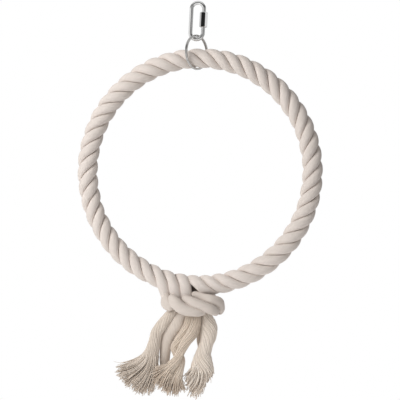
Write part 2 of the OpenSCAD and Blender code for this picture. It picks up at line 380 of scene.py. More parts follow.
def wear_group() -> bpy.types.NodeTree:
    """Faint scratches and smudges on plate, as a node group that the metal finishes share.

    Returns:
        The group, built at the first call.
    """
    name = "plate_wear"
    if name in bpy.data.node_groups:
        return bpy.data.node_groups[name]
    g = open_group(name, "Place", ("Smooth", "Dull"), ("Roughness", "Scratch"))
    ins = g.add("NodeGroupInput").outputs
    smudge = g.noise(ins["Place"], scale=260.0, detail=3.0)
    drawn = g.add("ShaderNodeMapping", {"Vector": ins["Place"], "Scale": (900.0, 900.0, 5200.0)})
    scratch = g.noise(drawn.outputs[0], scale=1.0, detail=2.0)
    span = g.maths("SUBTRACT", ins["Dull"], ins["Smooth"])
    rough = g.maths("ADD", ins["Smooth"], g.maths("MULTIPLY", smudge, span))
    g.add("NodeGroupOutput", {"Roughness": rough, "Scratch": scratch})
    return g.tree


def bare_material(name: str) -> tuple[bpy.types.Material, NodeGraph]:
    """Starts a material.

    Args:
        name: Its name.

    Returns:
        The material, and a graph on its empty node tree.
    """
    material = bpy.data.materials.new(name)
    material.use_nodes = True
    material.node_tree.nodes.clear()
    return material, NodeGraph(material.node_tree)


@dataclass(frozen=True)
class CottonFinish:
    """Undyed cotton: painted shade from groove to crest, fibre streaks along yarns, and a soft
    sheen.

    Attributes:
        name: The material's name.
        light: Colour of the crests.
        shade: Colour of the grooves, which is painted shade.
        across: Fineness of the fibres across a yarn.
        along: Fineness of the fibres along a yarn.
        streak: Contrast of the fibres.
        bump: Strength of the fibres' relief.
        bump_height: Height of that relief, in metres.
        blotch: Contrast of the faint blotches.
        blotch_scale: Fineness of the blotches.
        roughness: Roughness of the cotton.
        specular: Its specular level.
        sheen: Weight of its sheen.
        sheen_roughness: Roughness of its sheen.
    """

    name: str
    light: Colour
    shade: Colour
    across: float
    along: float
    streak: float
    bump: float
    bump_height: float = 0.0004
    blotch: float = 0.08
    blotch_scale: float = 70.0
    roughness: float = 0.95
    specular: float = 0.2
    sheen: float = 0.25
    sheen_roughness: float = 0.5

    def build(self) -> bpy.types.Material:
        """Makes the material.

        Returns:
            The new material.
        """
        material, g = bare_material(self.name)
        lay = g.add("ShaderNodeUVMap", uv_map=LAY_UV)
        tone = g.add("ShaderNodeAttribute", attribute_name=TONE)
        fibre = g.add("ShaderNodeGroup", {"Lay": lay.outputs[0], "Across": self.across,
                                          "Along": self.along}, node_tree=fibre_group()).outputs
        spot = g.add("ShaderNodeTexCoord")
        blotch = g.noise(spot.outputs["Object"], self.blotch_scale, detail=2.0)
        # Painted light and shade: the tone mixes from the shade colour at 0 to the light colour at
        # 1.
        base = g.mix(tone.outputs["Fac"], (*self.shade, 1.0), (*self.light, 1.0))
        varied = g.maths("MULTIPLY", self._varied(g, fibre["Streak"], self.streak),
                         self._varied(g, blotch, self.blotch))
        grey = g.add("ShaderNodeCombineColor", {0: varied, 1: varied, 2: varied})
        colour = g.mix(1.0, base, grey.outputs[0], "MULTIPLY")
        bump = g.add("ShaderNodeBump", {"Strength": self.bump, "Distance": self.bump_height,
                                        "Height": fibre["Height"]})
        shader = g.add("ShaderNodeBsdfPrincipled", {
            "Base Color": colour, "Roughness": self.roughness, "Normal": bump.outputs[0],
            "Sheen Weight": self.sheen, "Sheen Roughness": self.sheen_roughness,
            "Specular IOR Level": self.specular})
        g.add("ShaderNodeOutputMaterial", {0: shader.outputs[0]})
        return material

    @staticmethod
    def _varied(g: NodeGraph, pattern: Socket, contrast: float) -> Socket:
        """Brightness about 1 that follows a pattern, by its contrast."""
        return g.maths("ADD", 1.0 - contrast / 2, g.maths("MULTIPLY", pattern, contrast))


@dataclass(frozen=True)
class PlateFinish:
    """Bright nickel plate with faint scratches, and a screw thread where one is wanted.

    Attributes:
        name: The material's name.
        colour: Colour of the clean plate.
        smooth: Its least roughness.
        dull: Its greatest roughness, in the smudges.
        thread: Height of the thread's lines, as a share of bump_height; 0 for none.
        scratch: Height of the scratches, as such a share.
        scratch_shade: Brightness of the scratches, as a share of the plate's.
        bump: Strength of the relief.
        bump_height: Height of the relief, in metres.
        pitch: Distance between the thread's lines, in metres.
        threaded: Left edge, foot and top of the threaded place, in metres.
    """

    name: str
    colour: Colour
    smooth: float
    dull: float
    thread: float = 0.0
    scratch: float = 0.015
    scratch_shade: float = 0.82
    bump: float = 0.35
    bump_height: float = 0.0002
    pitch: float = 0.0007
    threaded: tuple[float, float, float] = (0.0022, -0.0286, -0.0125)

    def build(self) -> bpy.types.Material:
        """Makes the material.

        Returns:
            The new material.
        """
        material, g = bare_material(self.name)
        place = g.add("ShaderNodeTexCoord").outputs["Object"]
        wear = g.add("ShaderNodeGroup", {"Place": place, "Smooth": self.smooth, "Dull": self.dull},
                     node_tree=wear_group()).outputs
        dark = tuple(self.scratch_shade * c for c in self.colour)
        colour = g.mix(wear["Scratch"], (*dark, 1.0), (*self.colour, 1.0))
        height = g.maths("MULTIPLY", wear["Scratch"], self.scratch)
        if self.thread:
            lines = g.maths("MULTIPLY", self._thread_lines(g, place), self.thread)
            height = g.maths("ADD", height, lines)
        bump = g.add("ShaderNodeBump", {"Strength": self.bump, "Distance": self.bump_height,
                                        "Height": height})
        shader = g.add("ShaderNodeBsdfPrincipled", {
            "Base Color": colour, "Metallic": 1.0, "Roughness": wear["Roughness"],
            "Normal": bump.outputs[0]})
        g.add("ShaderNodeOutputMaterial", {0: shader.outputs[0]})
        return material

    def _thread_lines(self, g: NodeGraph, place: Socket) -> Socket:
        """Lines of the screw thread.

        Args:
            g: The material's graph.
            place: Object coordinates.

        Returns:
            Their height from 0 to 1, and 0 outside the threaded place.
        """
        left, foot, top = self.threaded
        x, _, z = g.add("ShaderNodeSeparateXYZ", {0: place}).outputs
        wave = g.maths("SINE", g.maths("MULTIPLY", z, math.tau / self.pitch))
        level = g.maths("MULTIPLY", g.maths("LESS_THAN", z, top), g.maths("GREATER_THAN", z, foot))
        mask = g.maths("MULTIPLY", g.maths("GREATER_THAN", x, left), level)
        return g.maths("MULTIPLY", mask, g.maths("ADD", 0.5, g.maths("MULTIPLY", wave, 0.5)))


@dataclass
class RopeRing:
    """Three-strand rope laid into a ring; each strand runs down into the knot at both ends.

    Angles are in degrees, clockwise from the top of the ring, and sizes are in millimetres.

    Attributes:
        hoop_r: Radius of the wire in the middle of the rope.
        rope_r: Radius of the rope over its crests.
        groove_depth: Depth of the grooves between the strands.
        flatness: How flat the crests are; at 2 they are plain curves.
        turns: Turns of the lay in the whole ring.
        lay_gap: Gap between the strands.
        core_r: Distance of a strand's inner corner from the middle of the rope.
        first_leg_angle: Where the first strand leaves the rope for the knot.
        knot_shift: How far the knot is to the left of the ring's middle.
        knot_drop: How far the knot is below the rope's middle.
        knot_back_lift: How much higher the back of the knot is.
        leg_steps: Sections of a leg as it turns over the rope.
        leg_drops: Shares of its way down where a leg has its other sections.
        turn_in: Sections over which the lay turns into a leg.
        neck: Share by which a strand narrows as it does.
        front_advance: Degrees that each front leg gains as it turns over the rope.
        back_advance: The same of each back leg.
        front_widths: Width of each front leg at the rope, on its face and at the foot, as shares.
        back_widths: The same of each back leg.
        lay_shift: Angles along the ring, and how far the lay is moved on there.
        front_feet: Foot of each front leg in the knot: across, height and shift outwards.
        back_feet: The same of each back leg.
        slack: Share of its half width that the last strand gains where its neighbour has left.
        slack_from: How many sections before its end that starts.
        slack_over: Sections over which it grows.
        squeeze: Share by which the rope is thinner inside the split ring.
        squeeze_at: Where it is thinnest.
        squeeze_span: Degrees over which it thins.
        arc_points: Points of the crest in a strand's outline.
        edge_round: How far the outline's edges are softened.
        crest_below: How far below the groove's edge the tone starts to rise from painted shade.
        crest_rise: Height over which it rises.
        yarns: Yarns that show round a strand.
        yarn_relief: Height of their relief.
        yarn_slide: How far they run round the strand for each millimetre along it.
        yarn_shade: How much their tones differ.
        seed: Seeds the first strand's unevenness; the others take the next numbers.
        swells: Number of slow waves in a strand's surface.
        swell_rate: Least and greatest angle of such a wave for each millimetre.
        swell_height: Its least and greatest height.
        lobes: Fewest waves round the strand, and one more than the most.
        girth: Distance round a strand in its pattern.
        turn_steps: Sections in each turn of the lay.
        ring_spacing: Distance between the finished rings of a strand.
        sides: Points in each ring.
        strands: Number of strands.
    """

    hoop_r: float = 2.0
    rope_r: float = 10.15
    groove_depth: float = 3.1
    flatness: float = 2.7
    turns: int = 16
    lay_gap: float = 0.1
    core_r: float = 3.1
    first_leg_angle: float = -170.625
    knot_shift: float = 4.7
    knot_drop: float = 18.0
    knot_back_lift: float = 3.5
    leg_steps: int = 9
    leg_drops: tuple[float, ...] = (0.3, 0.65, 1.0)
    turn_in: int = 5
    neck: float = 0.25
    front_advance: tuple[float, ...] = (5.2, 4.1, 2.7)
    back_advance: tuple[float, ...] = (5.2, 5.2, 5.2)
    front_widths: Keys = ((1.03, 1.03, 0.78), (1.06, 1.0, 0.9), (1.05, 0.98, 0.92))
    back_widths: Keys = ((1.03, 1.03, 0.95), (1.03, 1.03, 0.95), (1.03, 1.03, 0.95))
    lay_shift: Keys = ((-200, 0), (-100, 0), (0, 0.3), (60, 1), (110, 1), (130, 1.4), (150, 2.9),
                       (163, 3.3), (170, 2.7), (176, 2.1), (183, 0.7), (200, 0.6))
    front_feet: Keys = ((-27.2, 2, -3), (-16.7, 2, -1), (-5.9, 1, -1))
    back_feet: Keys = ((12.4, 1, 0), (4, 0, -2), (-5.5, 2, -2))
    slack: float = 0.4
    slack_from: int = 22
    slack_over: int = 12
    squeeze: float = 0.06
    squeeze_at: float = -1.0
    squeeze_span: float = 9.0
    arc_points: int = 61
    edge_round: float = 0.5
    crest_below: float = 0.4
    crest_rise: float = 0.9
    yarns: int = 24
    yarn_relief: float = 0.045
    yarn_slide: float = 0.8
    yarn_shade: float = 0.05
    seed: int = 20
    swells: int = 5
    swell_rate: tuple[float, float] = (0.08, 0.3)
    swell_height: tuple[float, float] = (0.04, 0.09)
    lobes: tuple[int, int] = (1, 4)
    girth: float = 40.0
    turn_steps: int = 28
    ring_spacing: float = 1.2
    sides: int = 96
    strands: int = 3

    def __post_init__(self) -> None:
        """Takes the ring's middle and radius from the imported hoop."""
        low, high = (np.array(corner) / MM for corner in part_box("hoop_core"))
        self.centre = (low + high) / 2
        self.mid_r = (high[0] - low[0]) / 2 - self.hoop_r
        self.knot = np.array([self.centre[0] - self.knot_shift, 0.0,
                              self.centre[2] - self.mid_r - self.knot_drop])

    def out(self, a: float) -> Points:
        """Direction away from the ring's middle at angle a."""
        return np.array([math.sin(math.radians(a)), 0.0, math.cos(math.radians(a))])

    def along(self, a: float) -> Points:
        """Direction along the ring at angle a."""
        return np.array([math.cos(math.radians(a)), 0.0, -math.sin(math.radians(a))])

    def middle(self, a: float) -> Points:
        """Middle of the rope at angle a."""
        return self.centre + self.mid_r * self.out(a)

    def across(self, a: float, f: float) -> Points:
        """Direction across the rope, where f turns from the outside to the front."""
        return math.cos(math.radians(f)) * self.out(a) + math.sin(math.radians(f)) * FRONT

    def shift(self, a: float) -> float:
        """How far the lay is moved on at angle a, to follow the photographed grooves."""
        keys = np.array(self.lay_shift)
        return float(np.interp(a, keys[:, 0], keys[:, 1]))

    def outline(self) -> Points:
        """Rounded outline of one strand, outwards and sideways from the middle of the rope.

        Returns:
            Points at even distances round the outline.
        """
        half = math.pi / self.strands
        shift = self.lay_gap / 2 * np.array([math.sin(half), -math.cos(half)])
        ray = np.array([math.cos(half), math.sin(half)])
        groove = (self.rope_r - self.groove_depth) * ray + shift
        core = self.core_r * ray + shift
        t = np.linspace(-1.0, 1.0, self.arc_points)
        turn = math.atan2(groove[1], groove[0]) * t
        fall = self.rope_r - float(np.linalg.norm(groove))
        reach = self.rope_r - fall * np.abs(t) ** self.flatness
        arc = np.stack([reach * np.cos(turn), reach * np.sin(turn)], axis=1)
        flip = np.array([1.0, -1.0])
        corner = [[self.core_r, 0.0]]
        loop = np.concatenate([corner, [core * flip], arc, [core], corner])
        at = lengths_along(loop)
        even = np.linspace(0.0, at[-1], 2 * self.sides, endpoint=False)
        flat = np.stack([np.interp(even, at, loop[:, c]) for c in (0, 1)], axis=1)
        blur = self.edge_round / (at[-1] / len(even))
        span = np.arange(-len(even) // 2, len(even) // 2)
        kernel = np.exp(-0.5 * (span / blur) ** 2)
        kernel = np.fft.fft(np.fft.ifftshift(kernel / kernel.sum()))
        return np.stack([np.fft.ifft(np.fft.fft(flat[:, c]) * kernel).real for c in (0, 1)], axis=1)

    @staticmethod
    def placed(outline: Points, o: Points, u: Points, v: Points) -> Points:
        """The outline set out from point o along the directions u and v."""
        return o + outline[:, :1] * u + outline[:, 1:] * v

    def leg(self, a: float, way: Way, advance: float, widths: tuple[float, ...],
            foot: tuple[float, ...]) -> list[Points]:
        """Cross-sections of a strand that leaves the rope's inner side and runs down to its foot.

        Args:
            a: Angle along the ring at which it leaves.
            way: Side of the rope that it passes over.
            advance: Degrees that it gains along the ring as it turns over the rope.
            widths: Its width at the inner side, on the face of the rope and at its foot, as shares.
            foot: Its foot in the knot: across, height and shift outwards.

        Returns:
            Cross-sections from the rope to the knot.
        """
        sign = way.value
        shape = self.outline()
        sections = []
        for t in np.linspace(0.0, 1.0, self.leg_steps)[1:]:
            here = a + sign * advance * t
            u = self.across(here, 180 + sign * 90 * t)
            v = -(widths[0] * (1 - t) + widths[1] * t) * self.along(here)
            sections.append(self.placed(shape, self.middle(here), u, v))
        hip = self.middle(a + sign * advance)
        lift = self.knot_back_lift if way is Way.BACK else 0.0
        low = self.knot + np.array([foot[0], sign * foot[2], lift + foot[1]])
        for t in self.leg_drops:
            v = (widths[1] * (1 - t) + widths[2] * t) * RIGHT
            sections.append(self.placed(shape, (1 - t) * hip + t * low, -sign * FRONT, v))
        return sections

    def laid(self, a: float, f: float, ends: float, top: float, slack: float) -> Points:
        """One cross-section of the lay.

        Args:
            a: Angle along the ring.
            f: Turn round the rope.
            ends: How near a leg is, from 0 to 1, where the section lies along the rope.
            top: Width at the leg, as a share.
            slack: Share of the half width that is added where the neighbour has left the rope.

        Returns:
            Points of the section.
        """
        shape = self.outline()
        shape[:, 1] *= np.where(shape[:, 1] < 0, 1 + slack, 1.0)
        blend = eased(ends)
        width = 1 - self.neck * math.sin(math.pi * blend) + (top - 1) * blend
        v = unit((1 - blend) * self.across(a, f + 90) - blend * self.along(a))
        tight = 1 - self.squeeze * math.exp(-((a - self.squeeze_at) / self.squeeze_span) ** 2)
        return self.placed(tight * shape, self.middle(a), self.across(a, f), width * v)

    def strand_sections(self, k: int) -> Points:
        """All cross-sections of a strand.

        Args:
            k: Number of the strand, from 0.

        Returns:
            Its sections, from its foot in front to its foot behind.
        """
        pitch = 360 / self.turns
        order = (self.strands - k) % self.strands
        place = self.strands - 1 - order
        lead = self.first_leg_angle + order * pitch / self.strands
        count = (self.turns - 1) * self.turn_steps
        helix = []
        a = lead
        for i in range(count + 1):
            even = lead + i * pitch / self.turn_steps
            a = even + self.shift(even)
            f = 180 + (even - self.first_leg_angle) * self.turns + 360 / self.strands * k
            ends = max(0.0, 1 - min(i, count - i) / self.turn_in)
            widths = self.front_widths[place] if i < count / 2 else self.back_widths[order]
            freed = float(np.clip((i - count + self.slack_from) / self.slack_over, 0.0, 1.0))
            slack = self.slack * freed if place == 0 else 0.0
            helix.append(self.laid(a, f, ends, widths[0], slack))
        front = self.leg(lead, Way.FRONT, self.front_advance[place], self.front_widths[place],
                         self.front_feet[place])
        back = self.leg(a, Way.BACK, self.back_advance[order], self.back_widths[order],
                        self.back_feet[order])
        return np.array(front[::-1] + helix + back)

    def build(self, finish: bpy.types.Material) -> None:
        """Builds and dresses the strands.

        Args:
            finish: The rope's material.
        """
        # Painted shade: the tone is 0 in the grooves between the strands and rises to 1 on the
        # crests.
        height = np.linalg.norm(self.outline(), axis=1) - (self.rope_r - self.groove_depth)
        crest = eased(np.clip((height + self.crest_below) / self.crest_rise, 0.0, 1.0))
        for k in range(self.strands):
            keys = self.strand_sections(k)
            at = lengths_along(keys[:, keys.shape[1] // 2])
            where = np.linspace(0.0, at[-1], round(at[-1] / self.ring_spacing))
            rings, tone = self._twisted(resample(keys, at, where), where, crest, k)
            weave = Weave()
            weave.loft(rings, where, self.girth, tone)
            name = f"ring_strand_{k + 1}"
            settle(weave.piece(f"rope_strand_{k + 1}"), Body.ROPE, "rope_cotton", finish, name)

    def _twisted(self, sections: Points, where: Points, crest: Points,
                 k: int) -> tuple[Points, Points]:
        """Lets the yarns run round the strand, so that they lie along the rope's axis.

        Args:
            sections: Finely spaced cross-sections.
            where: Distance of each along the strand.
            crest: Tone of the outline's points, with painted shade in the grooves.
            k: Number of the strand, from 0.

        Returns:
            The rings of the strand with yarn relief, and the tone of their points.
        """
        dense = sections.shape[1]
        rng = np.random.default_rng(self.seed + k)
        column = np.arange(self.sides)
        rings = np.empty((len(sections), self.sides, 3))
        tone = np.empty((len(sections), self.sides))
        relief = self.yarn_relief * np.cos(math.tau * column * self.yarns / self.sides)
        yarn_tone = np.repeat(rng.uniform(-self.yarn_shade, self.yarn_shade, self.yarns),
                              self.sides // self.yarns)
        waves = [(rng.uniform(*self.swell_rate), rng.integers(*self.lobes),
                  rng.uniform(*ANY_PHASE), rng.uniform(*self.swell_height))
                 for _ in range(self.swells)]
        round_it = np.linalg.norm(np.diff(sections[0], axis=0), axis=1).sum()
        for i, section in enumerate(sections):
            t = (column / self.sides - self.yarn_slide * where[i] / round_it) % 1.0 * dense
            low = t.astype(int) % dense
            share = (t - np.floor(t))[:, None]
            ring = section[low] * (1 - share) + section[(low + 1) % dense] * share
            swell = relief + sum(h * np.sin(w * where[i] + n * 2 * math.pi * t / dense + p)
                                 for w, n, p, h in waves)
            rings[i] = ring + swell[:, None] * unit(ring - ring.mean(axis=0))
            # Painted groove shade, varied a little from yarn to yarn.
            tone[i] = np.clip(crest[low] + yarn_tone * crest[low], 0.0, 1.0)
        return rings, tone


@dataclass
class Knot:
    """The strand turns that bind the ring's ends: three in front, three behind and two tucked ends.

    A turn's points are across, depth, height, half width and half depth, in millimetres from the
    middle of the knot.

    Attributes:
        rope: The rope that it binds.
        front: Points of each front turn.
        back: Points of each back turn, as seen from behind.
        tucked: Points of each strand end inside the knot.
        back_lean: Degrees by which the back leans over.
        fullness: How many times its half width a slack turn swells to.
        depth_share: How much more a turn's section faces front or back than sideways.
        end_round: Distance over which a turn's ends close.
        end_least: Least part of the section at its ends, squared.
        spacing: Distance between the rings of a turn.
        sides: Points in each ring.
        yarns: Yarns that show round a turn.
        yarn_relief: Height of their relief.
        yarn_twist: Angle that they run round the turn for each millimetre along it.
        swells: Number of slow waves in a turn's surface.
        swell_rate: Least and greatest angle of such a wave for each millimetre.
        swell_height: Its height.
        lobes: Fewest waves round the turn, and one more than the most.
        tone: Middle, swing and least value of a turn's tone, its painted light and shade.
        girth: Distance round a turn in its pattern.
    """

    rope: RopeRing
    front: tuple[Keys, ...] = (
        ((-23, -9, 8, 3.4, 3.4), (-18, -13.5, 2.5, 5.4, 4.6), (-12, -15, -3, 5.6, 5),
         (-2, -15.5, -6.6, 4.8, 5), (7, -13.6, -7.8, 4, 4.4), (13, -9.4, -7.4, 2.4, 2.6)),
        ((-11, -11, 6.4, 2.2, 2), (-5, -13, 4.4, 3.8, 3.4), (1, -14.5, 1.8, 4.5, 4.4),
         (11, -15, -1.6, 4.4, 4.8), (19, -13, -5.2, 4.6, 4.6), (22.6, -8, -7.4, 4, 4),
         (21, -3, -8.4, 3, 3)),
        ((-2, -4.6, 9.6, 2.6, 2.4), (4, -7, 8.8, 3.2, 2.8), (10, -9.6, 6.8, 3.4, 2.8),
         (18, -11, 4.8, 4.2, 4.2), (24.8, -6.6, 1.8, 5, 4.4), (26.6, 0, -2.4, 5.4, 4.2),
         (25.4, 5.6, -6.2, 4.6, 4), (22.6, 8, -10, 4, 3.4)))
    back: tuple[Keys, ...] = (
        ((-18, -9.6, 6.4, 3, 3), (-15.6, -13.5, 2.5, 5.2, 4.6), (-12, -15, -3, 5.6, 5),
         (-2, -15.5, -6.6, 4.8, 5), (7, -13.6, -7.8, 4, 4.4), (13, -9.4, -7.4, 2.4, 2.6)),
        ((-11, -11, 6.4, 2.2, 2), (-5, -13, 4.4, 3.8, 3.4), (1, -14.5, 1.8, 4.5, 4.4),
         (11, -15, -1.6, 4.4, 4.8), (19, -13, -5.4, 4.6, 4.6), (23, -8, -8, 4, 4),
         (21, -3, -9, 3, 3)),
        ((2, -9.6, 6.8, 1.6, 1.6), (8, -10.4, 6.4, 2.6, 2.6), (18, -11.4, 3.6, 3.8, 4),
         (26, -6.6, 0.6, 6, 4.4), (28.4, 0, -3, 7.6, 4.6), (27.4, 5.6, -5.4, 7.4, 4.6),
         (24.4, 9.6, -8.4, 5.6, 4), (18, 11.4, -11, 4, 3.4)))
    tucked: tuple[Keys, ...] = (
        ((-17, -4.2, -2, 3, 3), (-12, -4.2, -2.6, 4.4, 4), (0, -4.2, -2.8, 5, 4),
         (12, -4.2, -2.8, 4.4, 4), (17, -4.2, -2.2, 3, 3)),
        ((-15, 4.2, -1.4, 2.8, 2.8), (-11, 4.2, -1.6, 4.4, 4), (0, 4.2, -1.2, 5, 4),
         (12, 4.2, -0.4, 4.4, 4), (17, 4.2, 0, 3, 3)))
    back_lean: float = 9.0
    fullness: float = 1.12
    depth_share: float = 2.0
    end_round: float = 3.0
    end_least: float = 0.02
    spacing: float = 0.8
    sides: int = 64
    yarns: int = 16
    yarn_relief: float = 0.045
    yarn_twist: float = 0.09
    swells: int = 4
    swell_rate: tuple[float, float] = (0.1, 0.35)
    swell_height: float = 0.06
    lobes: tuple[int, int] = (1, 4)
    tone: tuple[float, float, float] = (0.62, 0.45, 0.1)
    girth: float = 28.0

    def rings_of(self, keys: Keys, full: float, seed: int) -> tuple[Points, Points, Points]:
        """Cross-sections, distances and tones of one turn, from the middle of the knot.

        Args:
            keys: Points of the turn.
            full: How many times its half width it swells to.
            seed: Seeds its unevenness.

        Returns:
            Rings, the distance of each along the turn, and the tone of their points.
        """
        rng = np.random.default_rng(seed)
        q = smooth_route(np.array(keys, dtype=float), self.spacing)
        q[:, 3] *= full
        along = unit(np.gradient(q[:, :3], axis=0))
        hint = np.stack([q[:, 0], self.depth_share * q[:, 1], np.zeros(len(q))], axis=1)
        deep = unit(hint - (hint * along).sum(axis=1)[:, None] * along)
        at = lengths_along(q[:, :3])
        ends = np.clip(np.minimum(at, at[-1] - at) / self.end_round, 0.0, 1.0)
        close = np.sqrt(np.clip(1 - (1 - ends) ** 2, self.end_least, 1.0))
        column = np.arange(self.sides)
        turn = math.tau * column / self.sides - self.yarn_twist * at[:, None]
        relief = self.yarn_relief * np.cos(math.tau * column * self.yarns / self.sides)
        waves = [(rng.uniform(*self.swell_rate), int(rng.integers(*self.lobes)),
                  rng.uniform(*ANY_PHASE)) for _ in range(self.swells)]
        grow = relief[None, :] + sum(self.swell_height * np.sin(w * at[:, None] + n * turn + p)
                                     for w, n, p in waves)
        rings = oval_rings(q[:, :3], deep, np.cross(along, deep), (q[:, 4] * close)[:, None] + grow,
                           (q[:, 3] * close)[:, None] + grow, turn)
        # Painted light and shade round each turn; its light side winds round with the yarns.
        return rings, at, painted_facing_light(turn, *self.tone)

    def build(self, finish: bpy.types.Material) -> None:
        """Builds and dresses the turns and the ends tucked in between them.

        Args:
            finish: The knot's material.
        """
        lean = math.radians(self.back_lean)
        behind = np.array([[-math.cos(lean), 0.0, math.sin(lean)], [0.0, -1.0, 0.0],
                           [math.sin(lean), 0.0, math.cos(lean)]])
        here = np.eye(3)
        lift = self.rope.knot_back_lift
        for keys, piece, node, way, up, full, seed in (
                (self.front, "knot_turn_front", "knot_wrap_front", here, 0.0, self.fullness, 40),
                (self.back, "knot_turn_back", "knot_wrap_back", behind, lift, self.fullness, 50),
                (self.tucked, "knot_inner_end", "tucked_end", here, 0.0, 1.0, 60)):
            for i, points in enumerate(keys):
                rings, at, tone = self.rings_of(points, full, seed + i)
                weave = Weave()
                weave.loft(rings @ way.T + self.rope.knot + np.array([0.0, 0.0, up]), at,
                           self.girth, tone)
                settle(weave.piece(f"{piece}_{i + 1}"), Body.ROPE, "knot_cotton", finish,
                       f"{node}_{i + 1}")


@dataclass
class Ply:
    """A bundle of yarns along a route, with an open brush at its end.

    Sizes are in millimetres, from the middle of the knot.

    Attributes:
        route: Points of the bundle: across, depth, height, half width and half depth.
        brush: Points of the brush's lower edge from left to right: across and height.
        yarns: Number of yarns.
        twist: Angle that they turn for each millimetre along the route.
        seed: Seeds their unevenness.
        strays: Paths of single fibres that stand off.
        brush_depth: Half the brush's depth.
        raggedness: How much the yarns' ends differ in length, as a share of the brush.
        curl: How far the yarns wave in the brush.
        threads: Threads that each yarn opens into.
        spread: How far apart the threads go.
        yarn_r: Radius of a yarn.
        yarn_sides: Sides of a yarn.
        thread_sides: Sides of a thread.
        spacing: Distance between the points of the route.
        sweep_steps: Points of a yarn in the brush.
        wobble: How far a yarn strays from its place in the bundle.
        wobble_rate: Least and greatest angle of its wave for each millimetre.
        tip_place: Least and greatest shift of a yarn's tip in the brush, in yarns.
        reach: Length of the longest yarns in the brush, as a share of it.
        inner_cut: Share by which the innermost yarns are shorter.
        bend_at: Least and greatest share of the brush where a yarn bends to its tip.
        waves: Least and greatest angle of a yarn's wave in the brush.
        sway: Greatest share of the curl that goes sideways or in depth.
        yarn_taper: Share of its radius that a yarn keeps at the brush's start and middle.
        thread_taper: Radius of a thread at its start and tip, as a share of the yarn's.
        loose: How far a whole thread lies off its yarn.
        flare: How far a thread's tip turns out.
        tone: Tone of the innermost yarns in painted shade, and how much lighter the outermost are.
        tone_change: Least and greatest change of a yarn's tone.
        tip_fade: How much darker the threads' tips are.
        tip_change: How much they differ.
        stray_r: Radius of a stray fibre at its start and tip.
        stray_tone: Its tone.
        stray_spacing: Distance between its points.
    """

    route: Keys
    brush: Keys
    yarns: int
    twist: float
    seed: int
    strays: tuple[Keys, ...] = ()
    brush_depth: float = 5.0
    raggedness: float = 0.04
    curl: float = 1.0
    threads: int = 2
    spread: float = 1.1
    yarn_r: float = 0.64
    yarn_sides: int = 6
    thread_sides: int = 5
    spacing: float = 2.2
    sweep_steps: int = 11
    wobble: float = 0.18
    wobble_rate: tuple[float, float] = (0.15, 0.4)
    tip_place: tuple[float, float] = (-0.6, 1.6)
    reach: float = 1.03
    inner_cut: float = 0.05
    bend_at: tuple[float, float] = (0.3, 0.5)
    waves: tuple[float, float] = (3.0, 8.0)
    sway: float = 0.7
    yarn_taper: tuple[float, float] = (0.9, 0.4)
    thread_taper: tuple[float, float] = (0.72, 0.46)
    loose: float = 0.25
    flare: float = 0.8
    tone: tuple[float, float] = (0.3, 0.55)
    tone_change: tuple[float, float] = (-0.2, 0.15)
    tip_fade: float = 0.15
    tip_change: float = 0.12
    stray_r: tuple[float, float] = (0.34, 0.16)
    stray_tone: float = 0.6
    stray_spacing: float = 1.5

    def weave_into(self, weave: Weave, origin: Points) -> None:
        """Adds the bundle's yarns and the loose threads at their ends to a mesh.

        Args:
            weave: The mesh that is gathered.
            origin: The middle of the knot.
        """
        rng = np.random.default_rng(self.seed)
        q = smooth_route(np.array(self.route, dtype=float), self.spacing)
        _, wide, deep = route_frame(q)
        at = lengths_along(q[:, :3])
        order = np.arange(self.yarns)
        rho = np.sqrt((order + 0.6) / self.yarns)
        first_turn = order * GOLDEN_ANGLE
        neck_turn = first_turn + self.twist * at[-1]
        rank = np.argsort(np.argsort(-rho * np.sin(neck_turn)))
        edge = np.array(self.brush, dtype=float)
        edge_at = lengths_along(edge)
        for i in range(self.yarns):
            turn = first_turn[i] + self.twist * at
            wobble = self.wobble * np.sin(at * rng.uniform(*self.wobble_rate)
                                          + rng.uniform(*ANY_PHASE))
            reach = np.minimum(rho[i] + 0.04 * wobble, 1.0)
            deeper = reach * (q[:, 4] - self.yarn_r) * np.cos(turn)
            wider = reach * (q[:, 3] - self.yarn_r) * np.sin(turn) + wobble * 0.5
            path = q[:, :3] + deeper[:, None] * deep + wider[:, None] * wide
            place = np.clip((rank[i] + rng.uniform(*self.tip_place)) / self.yarns, 0.0, 1.0)
            x, z = (np.interp(edge_at[-1] * place, edge_at, edge[:, c]) for c in (0, 1))
            y = q[-1, 1] - rho[i] * math.cos(neck_turn[i]) * self.brush_depth
            cut = (self.reach - self.raggedness * abs(rng.normal())
                   - self.inner_cut * (1 - rho[i]))
            brush = self._swept(path[-1], unit(path[-1] - path[-3]), np.array([x, y, z]), rng)
            brush = brush[: max(4, round(len(brush) * cut))]
            # Painted shade: yarns deep inside the bundle are darker; each yarn also changes its
            # tone at random.
            base = np.clip(self.tone[0] + self.tone[1] * rho[i]
                           + rng.uniform(*self.tone_change), 0.0, 1.0)
            half = len(brush) // 2
            whole = np.concatenate([path, brush[1:half]])
            radius = np.full(len(whole), self.yarn_r)
            radius[len(path):] = np.linspace(*self.yarn_taper, half - 1) * self.yarn_r
            weave.tube(whole + origin, radius, self.yarn_sides, np.full(len(whole), base),
                       start=float(rng.uniform(*PATTERN_START)))
            self._opened(weave, brush + origin, base, rng)
        for stray in self.strays:
            path = smooth_route(np.array(stray), self.stray_spacing)
            weave.tube(path + origin, np.linspace(*self.stray_r, len(path)), self.thread_sides,
                       np.full(len(path), self.stray_tone))

